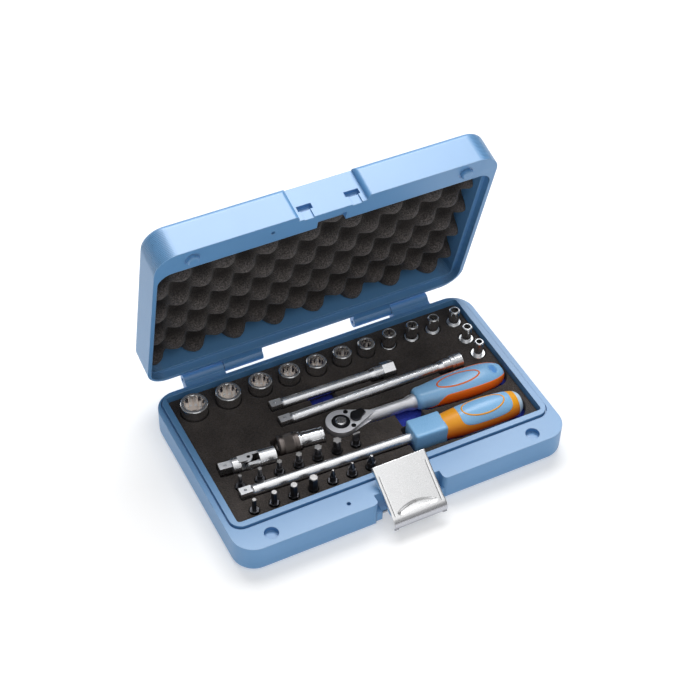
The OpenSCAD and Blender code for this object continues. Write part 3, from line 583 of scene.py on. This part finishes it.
def driver_loft(name, xs, sunk, mat, replaced):
    """A closed piece along the handle. Its first ring is sunk below the surface."""
    X, P = np.meshgrid(xs, round_angles(72), indexing="ij")
    v = driver_point(X, P)
    v[0] = driver_point(X[0], P[0], -sunk)
    make(name, set_in(v.reshape(-1, 3), *DRIVER), capped_faces(*X.shape), mat, "driver", [replaced])


def driver_handle():
    """The orange grip and the pale end cap."""
    grip = np.concatenate([[157.2, 157.5], np.linspace(158, 217.6, 64)])
    driver_loft("driver_grip_body", grip, 0.5, M["orange"], "driver_grip")
    tail = 222.9 - 4.9 * (1 - np.sin(np.linspace(0.1, math.pi / 2, 12)))
    driver_loft("driver_end_cap", np.concatenate([[217.5, 217.8], tail]), 0.6, M["cap"], "driver_cap")


def driver_panel(name, mid, replaced=()):
    """Hard blue panel with rounded corners, slightly proud of the orange."""
    x0, x1, half, count = 169.5, 213.2, math.radians(73), 61
    t = np.linspace(-1, 1, count)
    S, T = np.meshgrid(t, t, indexing="ij")
    # square to rounded rectangle
    n = 4.2
    big = np.maximum(np.abs(S), np.abs(T)) + 1e-9
    k = big / ((np.abs(S) ** n + np.abs(T) ** n) ** (1 / n) + 1e-9)
    x = (x0 + x1) / 2 + (x1 - x0) / 2 * S * k
    lift = np.sin(np.clip((1 - big) / 0.06, 0, 1) * math.pi / 2)
    v = driver_point(x, mid + half * T * k, -0.5 + 0.75 * lift)
    make(name, set_in(v.reshape(-1, 3), *DRIVER), grid_faces(count, count), M["handle"], "driver",
         replaced)


def driver_collar():
    """The square blue collar, with its edges eased at both ends."""
    rings = [(132.6, 8.2), (133.0, 9.0), (133.6, 9.3), (134.6, 9.4), (140, 9.3), (146, 9.2), (152, 9.2),
             (156, 9.3), (157.4, 9.3), (158.0, 9.0)]
    ph = round_angles(96)
    c, q = power(np.cos(ph), COLLAR_SQUARENESS), power(np.sin(ph), COLLAR_SQUARENESS)
    v = np.array([np.stack([np.full_like(ph, x), h * c, h * q], -1) for x, h in rings])
    make("driver_collar", set_in(v.reshape(-1, 3), *DRIVER), capped_faces(*v.shape[:2]), M["handle"], "driver")


def driver_ring():
    """The oval inlay on the driver's upper panel."""
    mid_x, half_x, half_phi, grow = 190.5, 17.0, math.radians(40), 0.25
    t = round_angles(120)
    x = mid_x + half_x * np.cos(t)
    ph = math.pi / 2 + half_phi * np.sin(t)
    p = driver_point(x, ph, grow)
    e = 1e-3
    nrm = np.cross(driver_point(x + e, ph, grow) - p, driver_point(x, ph + e, grow) - p)
    nrm /= np.linalg.norm(nrm, axis=1)[:, None]
    nrm *= np.sign((nrm * (p - np.array([mid_x, 0, 0]))).sum(1))[:, None]
    bead("driver_ring_inlay", set_in(p, *DRIVER), set_in(nrm, 0, 0, 0, DRIVER[3]), 0.6, 0.55, M["orange"],
         "driver")


driver_handle()
driver_panel("driver_panel_top", math.pi / 2, ["driver_handle"])
driver_panel("driver_panel_under", -math.pi / 2)
driver_collar()
driver_ring()

# ---------------------------------------------------------------- foam


def foam_layer(name, key, voxel, top_z, skin=0.4, uneven=0.14):
    """The CAD layer with its cut edges softened and its face slightly uneven. Lengths are in mm."""
    src = NODES[name]
    ob = bpy.data.objects.new(name + "_soft", src.data.copy())
    bpy.context.scene.collection.objects.link(ob)
    remesh = ob.modifiers.new("remesh", "REMESH")
    remesh.mode = "VOXEL"
    remesh.voxel_size = voxel * MM
    smooth = ob.modifiers.new("smooth", "SMOOTH")
    smooth.factor = 0.5
    smooth.iterations = 2
    me = bpy.data.meshes.new_from_object(ob.evaluated_get(bpy.context.evaluated_depsgraph_get()))
    ob.modifiers.clear()
    ob.data = me
    co = np.empty(len(me.vertices) * 3)
    me.vertices.foreach_get("co", co)
    co = co.reshape(-1, 3)
    top = co[:, 2] > (top_z - skin) * MM
    wob = np.array([noise.noise(Vector(c) * 30) + 0.5 * noise.noise(Vector(c) * 110) for c in co])
    co[:, 2] += np.where(top, uneven * MM * wob, 0)
    me.vertices.foreach_set("co", co.ravel())
    me.materials.clear()
    me.materials.append(M[key])
    me.polygons.foreach_set("use_smooth", [True] * len(me.polygons))
    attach(ob, "base")
    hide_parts(name)


def tilt(x, y, z, degrees, pivot_y, pivot_z):
    """Turns offsets y and z from a pivot about X, towards the back, and adds the pivot."""
    a = math.radians(-degrees)
    return np.stack([x, pivot_y + y * math.cos(a) - z * math.sin(a),
                     pivot_z + y * math.sin(a) + z * math.cos(a)], -1)


def lid_pose(p):
    """From the closed lid to its open rest pose."""
    return tilt(p[..., 0], p[..., 1] - LID_PIVOT_Y, p[..., 2] - LID_PIVOT_Z, LID_TILT, LID_PIVOT_Y, LID_PIVOT_Z)


def egg_foam():
    """Convoluted foam: rows of rounded peaks, each row offset by half a pitch."""
    half_x, y0, y1, step = 124.6, -56.6, 73.6, 1.3
    pitch_x, pitch_y, shift_x, shift_y = 32.8, 29.3, 103.5, 31.0
    mid, swing, tip, back = 40.7, 6.2, 34.3, 48.0
    xs = np.linspace(-half_x, half_x, int(2 * half_x / step) + 1)
    ys = np.linspace(y0, y1, int((y1 - y0) / step) + 1)
    X, Y = np.meshgrid(xs, ys, indexing="ij")
    w = np.cos(2 * math.pi * (X + shift_x) / pitch_x) * np.cos(2 * math.pi * (Y + shift_y) / pitch_y)
    w = np.sign(w) * np.abs(w) ** 0.72
    broad = np.array([[noise.noise(Vector((x, y, 0)) * 0.045) for y in ys] for x in xs])
    fine = np.array([[noise.noise(Vector((x, y, 7)) * 0.35) for y in ys] for x in xs])
    Z = np.clip(mid - swing * w + 0.5 * broad + 0.25 * fine, tip, back)
    # the cut edge is eased over the last millimetre
    rim = np.minimum(np.minimum(X + half_x, half_x - X), np.minimum(Y - y0, y1 - Y))
    Z += np.exp(-rim / 1.2)
    rows, cols = X.shape
    top = np.stack([X, Y, Z], -1).reshape(-1, 3)
    faces = grid_faces(rows, cols)
    ring = ([(i, 0) for i in range(rows)] + [(rows - 1, j) for j in range(1, cols)]
            + [(i, cols - 1) for i in range(rows - 2, -1, -1)] + [(0, j) for j in range(cols - 2, 0, -1)])
    low = np.array([[X[i, j], Y[i, j], back + 0.3] for i, j in ring])
    v = np.concatenate([top, low])
    n0, k = len(top), len(ring)
    for q in range(k):
        a, b = ring[q], ring[(q + 1) % k]
        faces.append((a[0] * cols + a[1], b[0] * cols + b[1], n0 + (q + 1) % k, n0 + q))
    faces.append(tuple(range(n0, n0 + k)))
    ob = make("lid_foam_crate", lid_pose(v), faces, M["egg"], "lid", ["lid_foam"])


foam_layer("foam_tray", "foam", 0.75, 20.4)
foam_layer("tray_underlay", "underlay", 0.9, 12.6)
egg_foam()

# ---------------------------------------------------------------- latch plate


def plate_pose(p):
    """From the plate's own frame (x, outward, up) to the rest pose."""
    return tilt(p[..., 0], -p[..., 1], p[..., 2], PLATE_TILT, PLATE_Y, PLATE_Z)


def latch_plate():
    """The sheet-metal cover: S runs down the plate from its upper edge, T across it."""
    up, down, curl, half, face, corner, flange = 24.5, 21.0, 6.4, 21.0, 2.0, 0.9, 2.6
    straight = up + down - curl
    arc = curl * math.pi / 2
    s = np.concatenate([np.linspace(0, straight, 150), straight + np.linspace(0.3, arc, 26)])
    t = np.concatenate([
        -half - np.linspace(flange, 0.0, 6)[:-1],
        np.linspace(-half, half, 190),
        half + np.linspace(0.0, flange, 6)[1:],
    ])
    S, T = np.meshgrid(s, t, indexing="ij")
    # across the plate: flat, then rounded down into the side flanges
    over = np.clip(np.abs(T) - (half - corner), 0, None)
    ang = np.clip(over / corner, 0, math.pi / 2)
    rest = np.clip(over - corner * math.pi / 2, 0, None)
    # the flanges stop above the wire that the bail turns on
    fade = np.clip((36.4 - S) / 3.0, 0.08, 1)
    fade = np.minimum(fade, np.clip((S + 1.2) / 2.0, 0.2, 1))
    X = np.sign(T) * (np.minimum(np.abs(T), half - corner) + corner * np.sin(ang))
    drop = corner * (1 - np.cos(ang)) * np.clip(fade * 2, 0, 1) + rest * fade
    # a pressed line along each side of the outer face
    groove = np.exp(-((np.abs(T) - 18.3) / 0.32) ** 2)
    along = np.clip((S - 7) / 1.5, 0, 1) * np.clip((straight - 1.0 - S) / 1.5, 0, 1)
    d = -0.22 * groove * along
    # the crescent for the thumb: a steep fall and a slow rise back to the face
    bow = straight - 8.6 + (np.abs(T) / 15.5) ** 2 * 4.6
    inside = np.clip(1 - (np.abs(T) / 16.0) ** 2, 0, 1)
    u = (S - bow) / np.maximum(8.0 * np.sqrt(inside), 1e-3)
    dip = ease(np.clip(u / 0.33, 0, 1)) - ease(np.clip((u - 0.33) / 0.67, 0, 1))
    d -= 0.95 * dip * np.clip(inside * 3, 0, 1)
    # down the plate: straight, then the curl
    a = np.clip((S - straight) / curl, 0, math.pi / 2)
    out = face - curl * (1 - np.cos(a)) + np.cos(a) * (d - drop)
    z = up - np.minimum(S, straight) - curl * np.sin(a) - np.sin(a) * (d - drop)
    v = np.stack([X, out, z], -1)
    ob = make("latch_cover", plate_pose(v.reshape(-1, 3)), grid_faces(*S.shape), M["latch"], "latch_plate",
              ["latch_plate"])
    solid = ob.modifiers.new("solid", "SOLIDIFY")
    solid.thickness = 0.55 * MM
    solid.offset = -1


def latch_part(name, outline, x0, thick, bevel=0.15):
    """A small plate from an outline in (outward, up), extruded along X with eased edges."""
    n = len(outline)
    v = [(x, o, u) for x in (x0, x0 + thick) for o, u in outline]
    faces = [tuple(range(n)), tuple(range(2 * n - 1, n - 1, -1))]
    faces += [(i, n + i, n + (i + 1) % n, (i + 1) % n) for i in range(n)]
    ob = make(name, plate_pose(np.array(v, float)), faces, M["latch"], "latch_plate", smooth=False)
    edge = ob.modifiers.new("edge", "BEVEL")
    edge.width = bevel * MM
    edge.segments = 2
    edge.limit_method = "ANGLE"


EAR_R = 2.1
EAR = [(-EAR_R * math.cos(q), EAR_R * math.sin(q)) for q in np.linspace(-math.pi / 2, math.pi / 2, 9)]
EAR += [(1.6, EAR_R), (1.6, -EAR_R)]
HOOK = [(1.6, 12.1), (-1.6, 12.1), (-3.0, 11.6), (-3.2, 9.9), (-2.6, 9.5), (1.6, 9.5)]
FOOT = [(-4.4, -20.2), (-3.3, -20.4), (-3.3, -21.5), (-3.8, -21.8), (-4.4, -21.6)]

latch_plate()
for side, x0 in (("l", -20.95), ("r", 20.15)):
    latch_part("latch_ear_" + side, EAR, x0, 0.8)
    latch_part("latch_hook_" + side, HOOK, x0, 0.8)
for side, x0 in (("l", -20.9), ("r", 17.5)):
    latch_part("latch_foot_" + side, FOOT, x0, 3.4, 0.3)

# ---------------------------------------------------------------- finishes on the CAD nodes


def finish_node(name, mat):
    """Gives a CAD node one material."""
    o = NODES[name]
    o.data.materials.clear()
    o.data.materials.append(mat)


FINISH = {
    "base_shell": "case", "lid_shell": "lid", "hinge_pins": "wire", "latch_bail": "wire", "latch_plate": "latch",
    "extension_100": "satin", "extension_150": "satin", "ratchet_body": "head", "ratchet_cover": "head",
    "ratchet_screws": "dark", "ratchet_gear": "dark", "ratchet_button": "chrome", "ratchet_lever": "dark",
    "ratchet_pawl": "dark", "ratchet_handle": "handle", "ratchet_grip": "handle", "driver_shaft": "satin",
    "driver_handle": "handle", "driver_grip": "handle", "driver_cap": "handle", "universal_drive_yoke": "satin",
    "universal_cross": "dark", "universal_socket_yoke": "satin", "universal_pins": "wire",
    "adapter_body": "chrome", "adapter_ring": "chrome", "tray_underlay": "underlay", "foam_tray": "foam",
    "lid_foam": "foam",
}
BORE_SHARE = 1.07  # a socket's opening as a share of its size
for name, key in FINISH.items():
    finish_node(name, M[key])
for name in NODES:
    if name.startswith("bit_"):
        finish_node(name, M["bit"])
    if name.startswith("socket_"):
        lo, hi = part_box(name)
        c = (lo + hi) / 2
        bore_r = float(name[len("socket_"):].replace("_", ".")) * 0.5 * BORE_SHARE * MM
        finish_node(name, socket_finish("plated_" + name, c.x, c.y, bore_r, hi.z))
SLEEVE_KNURL = knurl(tuple(v * MM for v in ADAPTER[:3]), math.radians(ADAPTER[3]), 7.5 * MM, 4.3, 11.4)
finish_node("adapter_sleeve", metal("steel_knurled", (0.27, 0.235, 0.22), (0.20, 0.175, 0.165), 0.42,
                                    extra=SLEEVE_KNURL))

# ---------------------------------------------------------------- stage, light, camera


def stage_floor(s=4.0):
    """A plain pale floor that reaches s metres each way."""
    me = bpy.data.meshes.new("floor")
    me.from_pydata([(-s, -s, 0), (s, -s, 0), (s, s, 0), (-s, s, 0)], [], [(0, 1, 2, 3)])
    ob = bpy.data.objects.new("floor", me)
    m, _, p = tree_of("floor_white")
    p.inputs["Base Color"].default_value = (0.72, 0.72, 0.72, 1)
    p.inputs["Emission Color"].default_value = (1, 1, 1, 1)
    p.inputs["Emission Strength"].default_value = 0.40
    p.inputs["Roughness"].default_value = 0.9
    p.inputs["Specular IOR Level"].default_value = 0.1
    me.materials.append(m)
    bpy.context.scene.collection.objects.link(ob)


def area(name, loc, target, size, power_w):
    """A rectangular light that faces target. Lengths are in metres."""
    d = bpy.data.lights.new(name, "AREA")
    d.shape = "RECTANGLE"
    d.size, d.size_y = size
    d.energy = power_w
    ob = bpy.data.objects.new(name, d)
    ob.location = loc
    ob.rotation_mode = "QUATERNION"
    ob.rotation_quaternion = (Vector(target) - Vector(loc)).to_track_quat("-Z", "Y")
    bpy.context.scene.collection.objects.link(ob)


stage_floor()
area("key_back", (0.22, 0.68, 1.30), (0, 0, 0.05), (1.2, 0.9), 21.5)
area("overhead_front", (-0.1, -0.50, 1.45), (0, 0, 0.03), (1.7, 1.2), 5.7)
area("front_card", (-0.2, -1.60, 0.95), (0, 0, 0.05), (1.7, 1.2), 3.4)

world = bpy.data.worlds.new("studio")
bpy.context.scene.world = world
world.use_nodes = True
bg = world.node_tree.nodes["Background"]
bg.inputs[0].default_value = (1.0, 1.0, 1.0, 1)
bg.inputs[1].default_value = 0.15

cam = bpy.data.cameras.new("camera")
cam.sensor_width = 36.0
cam.lens = 1662.0 / 700.0 * cam.sensor_width
cam_ob = bpy.data.objects.new("camera", cam)
bpy.context.scene.collection.objects.link(cam_ob)
fwd = Vector((0.33280, 0.61592, -0.71408)).normalized()
upv = Vector((0.30862, 0.64440, 0.69964))
right = fwd.cross(upv).normalized()
upv = right.cross(fwd).normalized()
mat = Matrix((right, upv, -fwd)).transposed().to_4x4()
mat.translation = Vector((-394.58, -711.45, 920.62)) * MM
cam_ob.matrix_world = mat
bpy.context.scene.camera = cam_ob
bpy.context.scene.view_settings.view_transform = "Standard"
